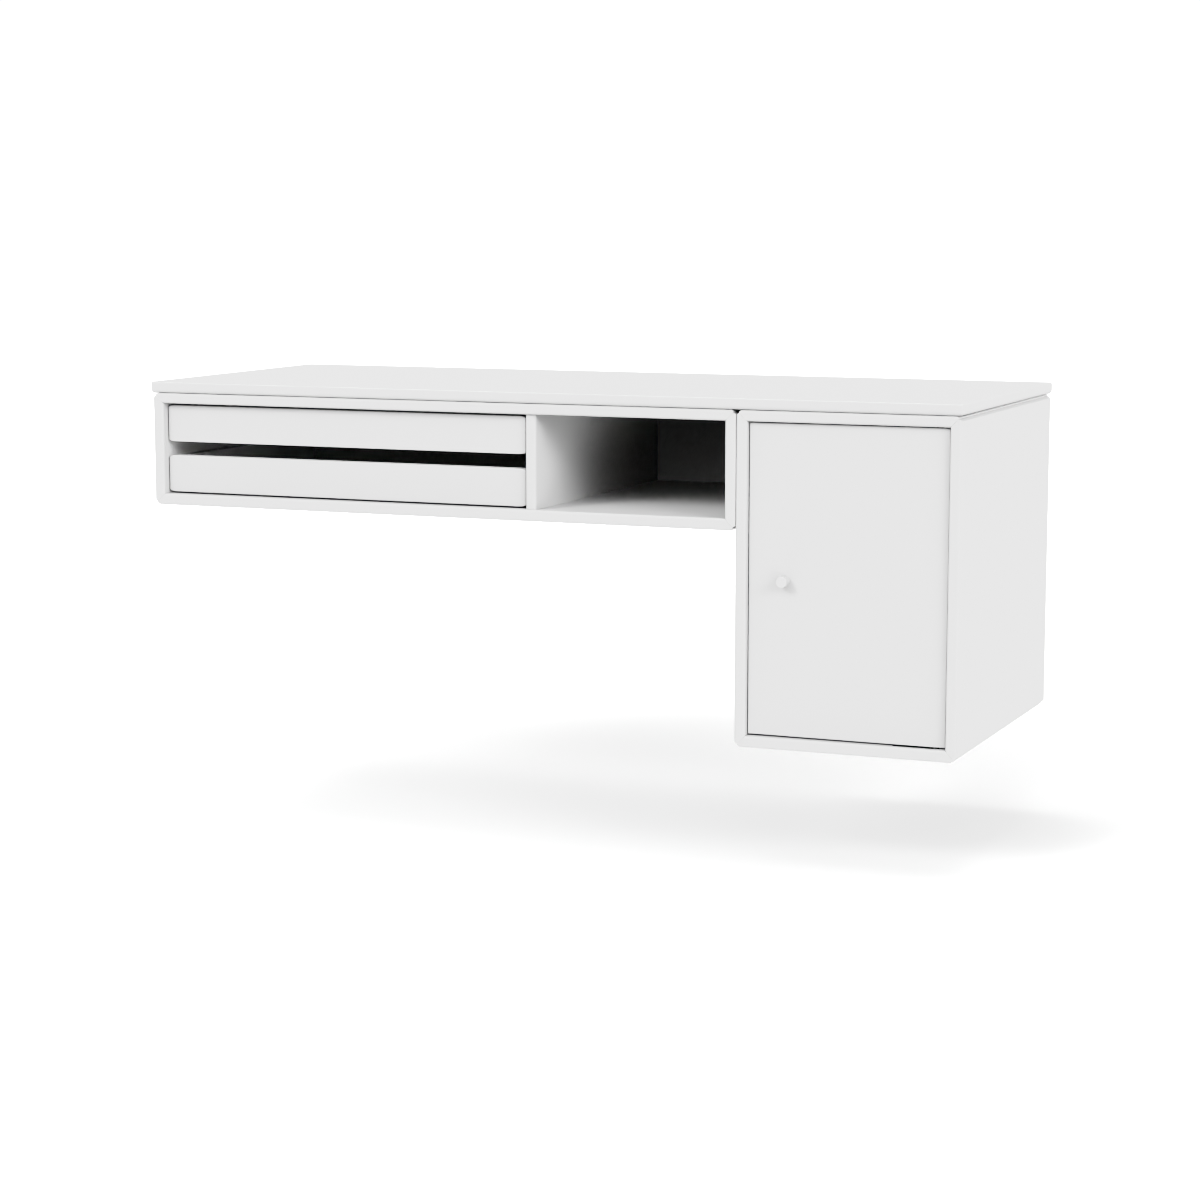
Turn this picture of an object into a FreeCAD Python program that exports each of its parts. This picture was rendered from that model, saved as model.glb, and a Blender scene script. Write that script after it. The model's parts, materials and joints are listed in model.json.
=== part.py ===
import FreeCAD, Part
import math
import os
import Sketcher

# Floating wall desk: a long low case with two stacked trays and an open bay, a tall case with an inset
# door, and one thin top over both. Two-part rails hang it on a wall.
# Frame: +X to the right, +Y into the wall, +Z up. The wall is the plane y = 0, and the origin is the
# centre of the long rail's row of wall holes.

# Driving dimensions, in millimetres.
SIZES = {
    # cases
    "board_thickness": 12,
    "case_depth": 372,
    "long_case_width": 696,
    "long_case_height": 126,
    "door_case_width": 240,
    "door_case_height": 354,
    "case_gap": 0.2,
    "open_bay_width": 216,
    "front_round": 2.5,
    # the frame edge that the desk top lies on
    "seat_round": 3.8,
    # stepped outer corner of each case, seen from the front
    "corner_mitre": 3.2,
    "corner_notch": 2.2,
    "corner_run": 5.8,
    "corner_side": 5.6,
    # divider
    "divider_setback": 4,
    "divider_round": 3,
    # back panels, which lie in rebates
    "back_thickness": 8,
    "back_inset": 1.5,
    "back_lap": 6,
    "panel_gap": 0.1,
    # desk top
    "top_thickness": 12,
    "top_overhang": 1.8,
    "top_round": 1.8,
    # trays
    "tray_front_height": 41.1,
    "tray_side_gap": 1.5,
    "tray_gap_top": 2.3,
    "tray_gap_bottom": 1.9,
    "tray_setback": 9,
    "tray_board": 12,
    "tray_corner_round": 3.5,
    "tray_edge_round": 1,
    "tray_top_drop": 1.2,
    "tray_foot_lift": 1,
    "tray_back_gap": 17.5,
    "tray_bottom_thickness": 5,
    "tray_bottom_lift": 4,
    "tray_groove": 5,
    "runner_height": 9.4,
    "runner_thickness": 6.5,
    "runner_back_gap": 16,
    "runner_clearance": 0.3,
    "runner_lift": 21,
    # door
    "door_thickness": 12,
    "door_setback": 5.75,
    "door_gap_left": 1,
    "door_gap_right": 1.1,
    "door_gap_top": 1.2,
    "door_gap_bottom": 2,
    "door_edge_round": 1,
    "knob_radius": 6,
    "knob_length": 13,
    "knob_edge_round": 0.8,
    "knob_inset": 40,
    "knob_screw_radius": 2,
    "knob_screw_bite": 9,
    "knob_screw_head_radius": 4,
    "knob_screw_head": 2.4,
    # pivot hinges let into the door's edges and the case
    "pivot_inset": 12,
    "pivot_depth": 5,
    "pivot_radius": 2,
    "pivot_clearance": 0.05,
    "leaf_thickness": 2.5,
    "leaf_width": 8,
    "leaf_length": 45,
    "washer_radius": 4,
    "washer_clearance": 0.1,
    # magnetic catch, which is also the door's stop
    "catch_length": 40,
    "catch_depth": 13,
    "catch_height": 12,
    "catch_inset": 14,
    "magnet_length": 20,
    "magnet_depth": 8,
    "magnet_height": 6,
    "strike_radius": 6,
    "strike_thickness": 1,
    "strike_clearance": 0.3,
    # rails that hang the desk, bent from aluminium strip
    "hang_gap": 8,
    "rail_thickness": 2.5,
    "rail_side_inset": 28,
    "cleat_top_inset": 1,
    "cleat_flange": 14.5,
    "cleat_tongue": 11,
    "rail_tongue": 11.5,
    "rail_foot": 14.5,
    "rail_play": 0.3,
    "rail_hole_drop": 36,
    "rail_hole_radius": 2.5,
    "rail_hole_inset": 20,
    "buffer_radius": 10,
    "buffer_inset": 40,
    # joints and fasteners
    "spline_width": 10,
    "spline_thickness": 3,
    "spline_offset": 8.5,
    "spline_end_inset": 27,
    "dowel_radius": 3,
    "dowel_length": 22,
    "dowel_bite": 7,
    "tray_dowel_radius": 2.5,
    "tray_dowel_length": 20,
    "tray_dowel_low": 12.5,
    "tray_dowel_high": 34,
    "fastener_gap": 0.05,
    "pin_radius": 0.8,
    "pin_length": 20,
    "pin_edge": 3,
    "pin_end_inset": 40,
    "fixing_inset": 60,
    "top_screw_radius": 2,
    "top_screw_length": 20,
    "cleat_screw_radius": 1.75,
    "cleat_screw_length": 30,
    "runner_screw_radius": 1.5,
    "runner_screw_length": 14,
    "leaf_screw_radius": 1.25,
    "leaf_screw_length": 9,
    "door_screw_length": 16,
    "leaf_screw_start": 18,
    "leaf_screw_pitch": 18,
    "catch_screw_radius": 1.25,
    "catch_screw_length": 20,
    "strike_screw_length": 9,
    "countersink": 1.9,
    "connector_radius": 2.5,
    "sleeve_radius": 4,
    "connector_head_radius": 7,
    "connector_head": 2,
    "connector_drop": 35,
}


class Size:
    """A length as its number and as the expression of sheet cells that gives it."""

    def __init__(self, number, text):
        self.number = float(number)
        self.text = text

    def __add__(self, other):
        other = as_size(other)
        return Size(self.number + other.number, f"({self.text} + {other.text})")

    def __sub__(self, other):
        other = as_size(other)
        return Size(self.number - other.number, f"({self.text} - {other.text})")

    def __mul__(self, factor):
        other = as_size(factor)
        return Size(self.number * other.number, f"({self.text} * {other.text})")

    def __truediv__(self, divisor):
        other = as_size(divisor)
        return Size(self.number / other.number, f"({self.text} / {other.text})")

    def __neg__(self):
        return Size(-self.number, f"(0 - {self.text})")


def as_size(value):
    """A plain number is a size whose expression is that number."""
    if isinstance(value, Size):
        return value
    return Size(value, f"({float(value)!r})")


doc = FreeCAD.newDocument("wall_desk")
sheet = doc.addObject("Spreadsheet::Sheet", "Sizes")
for row, (alias, number) in enumerate(SIZES.items(), start=1):
    sheet.set(f"A{row}", alias)
    sheet.set(f"B{row}", str(number))
    sheet.setAlias(f"B{row}", alias)
doc.recompute()


def size(alias):
    """The sheet's cell of that name."""
    return Size(getattr(sheet, alias), f"Sizes.{alias}")


# ---------------------------------------------------------------- general helpers

nodes = []
TURNS = {
    "+x": FreeCAD.Rotation(FreeCAD.Vector(0, 1, 0), 90),
    "-x": FreeCAD.Rotation(FreeCAD.Vector(0, 1, 0), -90),
    "+y": FreeCAD.Rotation(FreeCAD.Vector(1, 0, 0), -90),
    "-y": FreeCAD.Rotation(FreeCAD.Vector(1, 0, 0), 90),
    "+z": FreeCAD.Rotation(),
    "-z": FreeCAD.Rotation(FreeCAD.Vector(1, 0, 0), 180),
}
WAYS = {
    "+x": (1, 0, 0),
    "-x": (-1, 0, 0),
    "+y": (0, 1, 0),
    "-y": (0, -1, 0),
    "+z": (0, 0, 1),
    "-z": (0, 0, -1),
}


def bind(thing, path, value):
    thing.setExpression(path, as_size(value).text)


def place(thing, point, turn=FreeCAD.Rotation()):
    """Turns a primitive and binds its place."""
    thing.Placement = FreeCAD.Placement(FreeCAD.Vector(), turn)
    for axis, value in zip("xyz", point):
        bind(thing, f"Placement.Base.{axis}", value)
    return thing


def along(point, way, distance):
    """The point moved by a distance along one of the six ways."""
    moved = []
    for value, sign in zip(point, WAYS[way]):
        moved.append(as_size(value) + as_size(distance) * sign if sign else value)
    return tuple(moved)


def box(low, high, turn=FreeCAD.Rotation()):
    """A block between two corners."""
    block = doc.addObject("Part::Box", "block")
    for name, start, end in zip(("Length", "Width", "Height"), low, high):
        bind(block, name, as_size(end) - start)
    return place(block, low, turn)


def rod(point, way, radius, length):
    """A round rod that starts at a point and runs one way."""
    cylinder = doc.addObject("Part::Cylinder", "rod")
    bind(cylinder, "Radius", radius)
    bind(cylinder, "Height", length)
    return place(cylinder, point, TURNS[way])


def taper(point, way, radius, end_radius, length):
    cone = doc.addObject("Part::Cone", "taper")
    bind(cone, "Radius1", radius)
    bind(cone, "Radius2", end_radius)
    bind(cone, "Height", length)
    return place(cone, point, TURNS[way])


def fuse(shapes):
    joined = doc.addObject("Part::MultiFuse", "joined")
    joined.Shapes = shapes
    return joined


def group(shapes):
    """Several separate solids as one object."""
    kept = doc.addObject("Part::Compound", "group")
    kept.Links = shapes
    return kept


def cut(base, tools):
    """The base less every tool."""
    cutter = tools[0] if len(tools) == 1 else fuse(tools)
    rest = doc.addObject("Part::Cut", "rest")
    rest.Base = base
    rest.Tool = cutter
    return rest


def node(label, thing):
    """Names a finished piece."""
    thing.Label = label
    nodes.append(thing)
    return thing


def spread(first, last, count):
    """Evenly spaced values from the first to the last."""
    return [first + (last - first) * (k / (count - 1)) for k in range(count)]


# ---------------------------------------------------------------- sketched bodies


def rectangle(left, low, right, high, rounds=(None, None, None, None)):
    """Counter-clockwise outline. The rounds are the radii at low left, low right, high right, high left."""
    corners = [
        (left, low, (0, 1), (1, 0)),
        (right, low, (-1, 0), (0, 1)),
        (right, high, (0, -1), (-1, 0)),
        (left, high, (1, 0), (0, -1)),
    ]
    outline = []
    for (u, v, back, ahead), radius in zip(corners, rounds):
        u = as_size(u)
        v = as_size(v)
        if radius is None:
            outline.append((u, v, None))
            continue
        outline.append((u + radius * back[0], v + radius * back[1], None))
        outline.append((u + radius * ahead[0], v + radius * ahead[1], radius))
    return outline


def arc_centre(start, end, radius):
    """Centre of the counter-clockwise arc of under half a turn between two points."""
    chord = end - start
    height = math.sqrt(max(radius**2 - (chord.Length / 2) ** 2, 0))
    side = FreeCAD.Vector(-chord.y, chord.x, 0).normalize()
    return (start + end) * 0.5 + side * height


def draw(sketch, outline):
    """Adds a closed outline whose every corner is bound to sizes."""
    spots = [FreeCAD.Vector(as_size(u).number, as_size(v).number, 0) for u, v, _ in outline]
    first = sketch.GeometryCount
    for k, start in enumerate(spots):
        after = (k + 1) % len(spots)
        end = spots[after]
        radius = outline[after][2]
        if radius is None:
            sketch.addGeometry(Part.LineSegment(start, end))
            continue
        centre = arc_centre(start, end, radius.number)
        circle = Part.Circle(centre, FreeCAD.Vector(0, 0, 1), radius.number)
        from_angle = math.atan2(start.y - centre.y, start.x - centre.x)
        to_angle = math.atan2(end.y - centre.y, end.x - centre.x)
        sketch.addGeometry(Part.ArcOfCircle(circle, from_angle, to_angle))
    for k, (u, v, _) in enumerate(outline):
        after = (k + 1) % len(outline)
        sketch.addConstraint(Sketcher.Constraint("Coincident", first + k, 2, first + after, 1))
        across = sketch.addConstraint(Sketcher.Constraint("DistanceX", first + k, 1, as_size(u).number))
        bind(sketch, f"Constraints[{across}]", u)
        up = sketch.addConstraint(Sketcher.Constraint("DistanceY", first + k, 1, as_size(v).number))
        bind(sketch, f"Constraints[{up}]", v)
        radius = outline[after][2]
        if radius is not None:
            bend = sketch.addConstraint(Sketcher.Constraint("Radius", first + k, radius.number))
            bind(sketch, f"Constraints[{bend}]", radius)


def new_body(name):
    return doc.addObject("PartDesign::Body", name)


def new_sketch(body, role, offset, outlines):
    """A sketch on one of the body's own origin planes, moved along that plane's normal."""
    sketch = body.newObject("Sketcher::SketchObject", body.Name + "_sketch")
    plane = [item for item in body.Origin.OriginFeatures if item.Role == role][0]
    sketch.AttachmentSupport = [(plane, "")]
    sketch.MapMode = "FlatFace"
    bind(sketch, "AttachmentOffset.Base.z", offset)
    for outline in outlines:
        draw(sketch, outline)
    return sketch


def pad(body, sketch, length):
    feature = body.newObject("PartDesign::Pad", body.Name + "_pad")
    feature.Profile = sketch
    bind(feature, "Length", length)
    return feature


def trim(body, sketch):
    """Cuts a sketched outline through the whole body, both ways from the sketch."""
    feature = body.newObject("PartDesign::Pocket", body.Name + "_trim")
    feature.Profile = sketch
    feature.Type = "ThroughAll"
    feature.SideType = "Symmetric"
    return feature


def round_edges(body, base, radius, wanted):
    """Rounds the edges of the base that a test of an edge's box picks."""
    doc.recompute()
    names = [f"Edge{k + 1}" for k, edge in enumerate(base.Shape.Edges) if wanted(edge.BoundBox)]
    feature = body.newObject("PartDesign::Fillet", body.Name + "_round")
    feature.Base = (base, names)
    bind(feature, "Radius", radius)
    return feature


# ---------------------------------------------------------------- places that several pieces share

board = size("board_thickness")
front_y = -(size("case_depth") + size("hang_gap"))
rear_y = -size("hang_gap")
panel_y = rear_y - size("back_inset") - size("back_thickness")
top_z = size("rail_hole_drop")
gap = size("fastener_gap")


class Case:
    """The outer faces of one case."""

    def __init__(self, name, left, width, height):
        self.name = name
        self.left = left
        self.right = left + width
        self.high = top_z
        self.low = top_z - height
        self.drills = []


long_width = size("long_case_width")
long_case = Case("long_case", -long_width / 2, long_width, size("long_case_height"))
door_case = Case(
    "door_case", long_case.right + size("case_gap"), size("door_case_width"), size("door_case_height")
)
divider_right = long_case.right - board - size("open_bay_width")
divider_left = divider_right - board
tray_bay_left = long_case.left + board


# ---------------------------------------------------------------- fasteners


def countersunk(point, way, radius, length, head=2.0):
    """A screw with its flat head at a point; the head is so many times the shank's radius."""
    shank = rod(point, way, radius, length)
    cone = taper(point, way, as_size(radius) * head, radius, size("countersink"))
    return fuse([shank, cone])


def screws(label, places, radius, length):
    """Countersunk screws at (point, way) places, and the holes that they need."""
    made = [countersunk(point, way, radius, length) for point, way in places]
    holes = [countersunk(point, way, radius + gap, length + gap) for point, way in places]
    if label:
        node(label, group(made))
    return made, holes


def dowels(label, places, radius, length):
    """Plain rods at (point, way) places, and the holes that they need."""
    made = [rod(point, way, radius, length) for point, way in places]
    holes = [rod(along(point, way, -gap), way, radius + gap, length + gap * 2) for point, way in places]
    node(label, group(made))
    return holes


# ---------------------------------------------------------------- cases


def board_outline(case, edge):
    """A frame board seen from the front: mitred at both ends, with the stepped outer corners."""
    mitre = size("corner_mitre")
    notch = size("corner_notch")
    run = size("corner_run")
    side = size("corner_side")
    left, right, low, high = case.left, case.right, case.low, case.high
    outlines = {
        "top_board": [
            (left + board, high - board),
            (right - board, high - board),
            (right - mitre, high - mitre),
            (right - mitre, high - notch),
            (right - run, high),
            (left + run, high),
            (left + mitre, high - notch),
            (left + mitre, high - mitre),
        ],
        "bottom_board": [
            (left + run, low),
            (right - run, low),
            (right - mitre, low + notch),
            (right - mitre, low + mitre),
            (right - board, low + board),
            (left + board, low + board),
            (left + mitre, low + mitre),
            (left + mitre, low + notch),
        ],
        "left_side": [
            (left, low + side),
            (left + mitre, low + mitre),
            (left + board, low + board),
            (left + board, high - board),
            (left + mitre, high - mitre),
            (left, high - side),
        ],
        "right_side": [
            (right, low + side),
            (right, high - side),
            (right - mitre, high - mitre),
            (right - board, high - board),
            (right - board, low + board),
            (right - mitre, low + mitre),
        ],
    }
    return [(u, v, None) for u, v in outlines[edge]]


def frame_board(case, edge):
    """A board with both front edges rounded, trimmed to its outline."""
    bend = size("front_round")
    body = new_body(f"{case.name}_{edge}_blank")
    if edge in ("top_board", "bottom_board"):
        low = case.high - board if edge == "top_board" else case.low
        upper_bend = size("seat_round") if edge == "top_board" else bend
        section = rectangle(front_y, low, rear_y, low + board, (bend, None, None, upper_bend))
        sketch = new_sketch(body, "YZ_Plane", case.left, [section])
        pad(body, sketch, case.right - case.left)
    else:
        left = case.left if edge == "left_side" else case.right - board
        section = rectangle(left, front_y, left + board, rear_y, (bend, bend, None, None))
        sketch = new_sketch(body, "XY_Plane", case.low, [section])
        pad(body, sketch, case.high - case.low)
    around = rectangle(
        case.left - board, case.low - board, case.right + board, case.high + board
    )
    trim(body, new_sketch(body, "XZ_Plane", 0, [around, board_outline(case, edge)]))
    return body


def case_rebate(case):
    """The step round the rear of the frame that takes the back panel."""
    step = board - size("back_lap")
    return box(
        (case.left + step, panel_y, case.low + step),
        (case.right - step, rear_y + board, case.high - step),
    )


def back_panel(case):
    step = board - size("back_lap") + size("panel_gap")
    return box(
        (case.left + step, panel_y, case.low + step),
        (case.right - step, panel_y + size("back_thickness"), case.high - step),
    )


def back_pins(case, along_x, along_z, between):
    """Headless pins through the back panel into the frame and any divider."""
    edge = board - size("back_lap") + size("pin_edge")
    inset = size("pin_end_inset")
    spots = []
    for x in spread(case.left + inset, case.right - inset, along_x):
        spots += [(x, case.high - edge), (x, case.low + edge)]
    for z in spread(case.low + inset, case.high - inset, along_z):
        spots += [(case.left + edge, z), (case.right - edge, z)]
    spots += between
    rear = panel_y + size("back_thickness")
    places = [((x, rear, z), "-y") for x, z in spots]
    return dowels(f"{case.name}_back_pins", places, size("pin_radius"), size("pin_length"))


def corner_splines(case):
    """A loose tongue across each mitre, and its groove."""
    half_width = size("spline_width") / 2
    half_thickness = size("spline_thickness") / 2
    offset = size("spline_offset")
    slope = math.sqrt(0.5)
    start = front_y + size("spline_end_inset")
    end = rear_y - size("spline_end_inset")
    made = []
    grooves = []
    for x, z, tilt in (
        (case.left + offset, case.high - offset, 1),
        (case.right - offset, case.low + offset, 1),
        (case.right - offset, case.high - offset, -1),
        (case.left + offset, case.low + offset, -1),
    ):
        turn = FreeCAD.Rotation(FreeCAD.Vector(0, 1, 0), -45 * tilt)
        for play, kept in ((as_size(0), made), (gap, grooves)):
            wide = half_width + play
            thick = half_thickness + play
            block = doc.addObject("Part::Box", "spline")
            bind(block, "Length", wide * 2)
            bind(block, "Width", end - start + play * 2)
            bind(block, "Height", thick * 2)
            corner_x = x - (wide - thick * tilt) * slope
            corner_z = z - (wide * tilt + thick) * slope
            place(block, (corner_x, start - play, corner_z), turn)
            kept.append(block)
    node(f"{case.name}_corner_splines", group(made))
    return grooves


def build_case(case):
    """The four mitred boards and the back panel, with every hole that the case needs."""
    rebate = case_rebate(case)
    tools = fuse(case.drills + [rebate])
    for edge in ("top_board", "bottom_board", "left_side", "right_side"):
        node(f"{case.name}_{edge}", cut(frame_board(case, edge), [tools]))
    panel_tools = fuse(case.drills)
    node(f"{case.name}_back_panel", cut(back_panel(case), [panel_tools]))


# ---------------------------------------------------------------- joints of the cases

divider_x = divider_left + board / 2
middle_z = (long_case.high + long_case.low) / 2
long_pins = back_pins(long_case, 6, 2, [(divider_x, middle_z)])
door_pins = back_pins(door_case, 3, 4, [])
long_case.drills += long_pins + corner_splines(long_case)
door_case.drills += door_pins + corner_splines(door_case)

fixing = size("fixing_inset")
fixing_front = front_y + fixing
fixing_rear = rear_y - fixing
bite = size("dowel_bite")
dowel_places = []
for y in spread(fixing_front, fixing_rear, 3):
    dowel_places += [
        ((divider_x, y, long_case.high - board + bite), "-z"),
        ((divider_x, y, long_case.low + board - bite), "+z"),
    ]
divider_drills = dowels("divider_dowels", dowel_places, size("dowel_radius"), size("dowel_length"))
long_case.drills += divider_drills

# screws up through the case tops into the desk top
top_screw_x = {
    long_case: spread(tray_bay_left + fixing, divider_left - fixing, 3)
    + [divider_right + size("open_bay_width") / 2],
    door_case: [door_case.left + fixing, door_case.right - fixing],
}
top_places = []
for case, row in top_screw_x.items():
    for x in row:
        for y in (fixing_front, fixing_rear):
            top_places.append(((x, y, case.high - board), "+z"))
_, top_drills = screws("desk_top_screws", top_places, size("top_screw_radius"), size("top_screw_length"))
top_tools = fuse(top_drills)
long_case.drills.append(top_tools)
door_case.drills.append(top_tools)

# bolts and sleeve nuts that clamp the cases side by side
bolt_from = long_case.right - board
bolt_to = door_case.left + board
sleeves = []
bolts = []
connector_drills = []
for y in (fixing_front, fixing_rear):
    for z in (long_case.high - size("connector_drop"), long_case.low + size("connector_drop")):
        near = (bolt_from, y, z)
        far = (bolt_to, y, z)
        grip = bolt_to - bolt_from
        head = size("connector_head")
        sleeve = fuse([
            rod(far, "-x", size("sleeve_radius"), grip),
            rod(far, "+x", size("connector_head_radius"), head),
        ])
        bore = rod(along(far, "+x", head), "-x", size("connector_radius") + gap, grip + head * 2)
        sleeves.append(cut(sleeve, [bore]))
        bolts.append(fuse([
            rod(near, "+x", size("connector_radius"), grip),
            rod(near, "-x", size("connector_head_radius"), head),
        ]))
        connector_drills.append(rod(near, "+x", size("sleeve_radius") + gap, grip))
node("case_connector_sleeves", group(sleeves))
node("case_connector_bolts", group(bolts))
long_case.drills += connector_drills
door_case.drills += connector_drills


# ---------------------------------------------------------------- rails on the wall and on the cases


def strip_section(points):
    """Corners (y, z) of a bent strip as an outline."""
    return [(u, v, None) for u, v in points]


def hang_rails(case, title):
    """A cleat screwed to the case's rear edge, hooked over a rail screwed to the wall."""
    metal = size("rail_thickness")
    play = size("rail_play")
    high = case.high - size("cleat_top_inset")
    web = high - size("cleat_flange")
    tongue_y = rear_y + metal + play * 2
    start = case.left + size("rail_side_inset")
    length = case.right - size("rail_side_inset") - start
    cleat = new_body(f"{case.name}_cleat_blank")
    outline = strip_section([
        (rear_y, web),
        (tongue_y, web),
        (tongue_y, web - size("cleat_tongue")),
        (tongue_y + metal, web - size("cleat_tongue")),
        (tongue_y + metal, web + metal),
        (rear_y + metal, web + metal),
        (rear_y + metal, high),
        (rear_y, high),
    ])
    pad(cleat, new_sketch(cleat, "YZ_Plane", start, [outline]), length)
    rail = new_body(f"{title}_blank")
    hook_y = rear_y + play
    foot = web - size("rail_tongue")
    outline = strip_section([
        (hook_y, foot - metal),
        (-metal, foot - metal),
        (-metal, foot - metal - size("rail_foot")),
        (0, foot - metal - size("rail_foot")),
        (0, foot),
        (hook_y + metal, foot),
        (hook_y + metal, web),
        (hook_y, web),
    ])
    pad(rail, new_sketch(rail, "YZ_Plane", start, [outline]), length)
    return cleat, rail


cleat_places = []
for case, title, hole_count, screw_count in (
    (long_case, "long_wall_rail", 4, 5),
    (door_case, "door_wall_rail", 2, 2),
):
    cleat, rail = hang_rails(case, title)
    start = case.left + size("rail_side_inset")
    end = case.right - size("rail_side_inset")
    rows = spread(start + fixing / 4, end - fixing / 4, screw_count)
    places = [((x, rear_y + size("rail_thickness"), case.high - board / 2), "-y") for x in rows]
    cleat_places += places
    _, cleat_drills = screws(None, places, size("cleat_screw_radius"), size("cleat_screw_length"))
    case.drills += cleat_drills
    node(f"{case.name}_cleat", cut(cleat, cleat_drills))
    wall_holes = [
        rod((x, board, as_size(0)), "-y", size("rail_hole_radius"), board * 2)
        for x in spread(start + size("rail_hole_inset"), end - size("rail_hole_inset"), hole_count)
    ]
    node(title, cut(rail, wall_holes))
screws("cleat_screws", cleat_places, size("cleat_screw_radius"), size("cleat_screw_length"))

buffers = []
for case in (long_case, door_case):
    for x in (case.left + size("buffer_inset"), case.right - size("buffer_inset")):
        point = (x, panel_y + size("back_thickness"), case.low + size("buffer_inset"))
        buffers.append(rod(point, "+y", size("buffer_radius"), size("back_inset") + size("hang_gap")))
node("wall_buffers", group(buffers))


# ---------------------------------------------------------------- trays and their runners

tray_rear_of_front = front_y + size("tray_setback") + size("tray_board")
tray_end = panel_y - size("tray_back_gap")
tray_left = tray_bay_left + size("tray_side_gap")
tray_right = divider_left - size("tray_side_gap")
groove_depth = size("runner_thickness") - size("tray_side_gap") + size("runner_clearance")
runner_places = []
wall_runner_places = []


def runner(label, wall_x, way, low):
    """A strip on the bay's wall that a tray's grooved side rides on."""
    thick = size("runner_thickness")
    start = tray_rear_of_front + size("runner_clearance")
    end = panel_y - size("runner_back_gap")
    half = size("runner_height") / 2
    middle = low + size("runner_lift")
    left = wall_x if way == "+x" else wall_x - thick
    strip = box((left, start, middle - half), (left + thick, end, middle + half))
    face = wall_x + thick if way == "+x" else wall_x - thick
    into = "-x" if way == "+x" else "+x"
    rows = spread(start + fixing / 2, end - fixing / 2, 3)
    places = [((face, y, middle), into) for y in rows]
    _, holes = screws(None, places, size("runner_screw_radius"), size("runner_screw_length"))
    node(label, cut(strip, holes))
    return places, holes


def tray_front(name, low):
    """The tray's front: rounded corners seen from the front, and softened front edges."""
    body = new_body(f"{name}_front_blank")
    bend = size("tray_corner_round")
    outline = rectangle(
        tray_left, low, tray_right, low + size("tray_front_height"), (bend, bend, bend, bend)
    )
    base = pad(body, new_sketch(body, "XZ_Plane", -tray_rear_of_front, [outline]), size("tray_board"))
    face_y = (tray_rear_of_front - size("tray_board")).number
    round_edges(body, base, size("tray_edge_round"), lambda span: abs(span.YMax - face_y) < 1e-4)
    return body


def tray(name, low):
    """A tray: a front, two grooved sides, a back between them and a bottom in grooves."""
    thick = size("tray_board")
    side_low = low + size("tray_foot_lift")
    side_high = low + size("tray_front_height") - size("tray_top_drop")
    middle = low + size("runner_lift")
    half = size("runner_height") / 2 + size("runner_clearance")
    inner_left = tray_left + thick
    inner_right = tray_right - thick
    back_y = tray_end - thick
    groove = size("tray_groove")
    play = size("panel_gap")
    sheet_low = low + size("tray_bottom_lift")
    sheet_high = sheet_low + size("tray_bottom_thickness")
    bottom_groove = box(
        (inner_left - groove, tray_rear_of_front - groove, sheet_low - play),
        (inner_right + groove, back_y + groove, sheet_high + play),
    )
    radius = size("tray_dowel_radius")
    length = size("tray_dowel_length")
    places = []
    for z in (low + size("tray_dowel_low"), low + size("tray_dowel_high")):
        places += [
            ((tray_left + thick / 2, tray_rear_of_front - bite, z), "+y"),
            ((tray_right - thick / 2, tray_rear_of_front - bite, z), "+y"),
            ((inner_left - bite, back_y + thick / 2, z), "+x"),
            ((inner_right + bite, back_y + thick / 2, z), "-x"),
        ]
    holes = dowels(f"{name}_dowels", places, radius, length)
    tools = fuse(holes + [bottom_groove])
    node(f"{name}_front", cut(tray_front(name, low), [tools]))
    for title, x0, x1, groove_x in (
        ("left_side", tray_left, inner_left, tray_left),
        ("right_side", inner_right, tray_right, tray_right - groove_depth),
    ):
        blank = box((x0, tray_rear_of_front, side_low), (x1, tray_end, side_high))
        runner_groove = box(
            (groove_x, tray_rear_of_front, middle - half),
            (groove_x + groove_depth, tray_end + thick, middle + half),
        )
        node(f"{name}_{title}", cut(blank, [tools, runner_groove]))
    blank = box((inner_left, back_y, side_low), (inner_right, tray_end, side_high))
    node(f"{name}_back", cut(blank, [tools]))
    node(f"{name}_bottom", box(
        (inner_left - groove + play, tray_rear_of_front - groove + play, sheet_low),
        (inner_right + groove - play, back_y + groove - play, sheet_high),
    ))


tray_lows = {
    "upper_tray": long_case.high - board - size("tray_gap_top") - size("tray_front_height"),
    "lower_tray": long_case.low + board + size("tray_gap_bottom"),
}
runner_screw_places = []
divider_tools = [fuse(divider_drills + long_pins)]
for name, low in tray_lows.items():
    tray(name, low)
    places, holes = runner(f"{name}_left_runner", tray_bay_left, "+x", low)
    runner_screw_places += places
    long_case.drills += holes
    places, holes = runner(f"{name}_right_runner", divider_left, "-x", low)
    runner_screw_places += places
    divider_tools += holes
screws(
    "runner_screws", runner_screw_places, size("runner_screw_radius"), size("runner_screw_length")
)


# ---------------------------------------------------------------- divider

divider = new_body("divider_blank")
divider_bend = size("divider_round")
divider_plan = rectangle(
    divider_left,
    front_y + size("divider_setback"),
    divider_right,
    panel_y,
    (divider_bend, divider_bend, None, None),
)
divider_height = long_case.high - long_case.low - board * 2
pad(divider, new_sketch(divider, "XY_Plane", long_case.low + board, [divider_plan]), divider_height)
node("long_case_divider", cut(divider, divider_tools))


# ---------------------------------------------------------------- desk top

overhang = size("top_overhang")
top_body = new_body("desk_top_blank")
top_plan = rectangle(
    long_case.left - overhang, front_y - overhang, door_case.right + overhang, rear_y
)
top_pad = pad(top_body, new_sketch(top_body, "XY_Plane", top_z, [top_plan]), size("top_thickness"))
round_edges(top_body, top_pad, size("top_round"), lambda span: True)
node("desk_top", cut(top_body, [top_tools]))


# ---------------------------------------------------------------- door, knob and hinges

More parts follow.
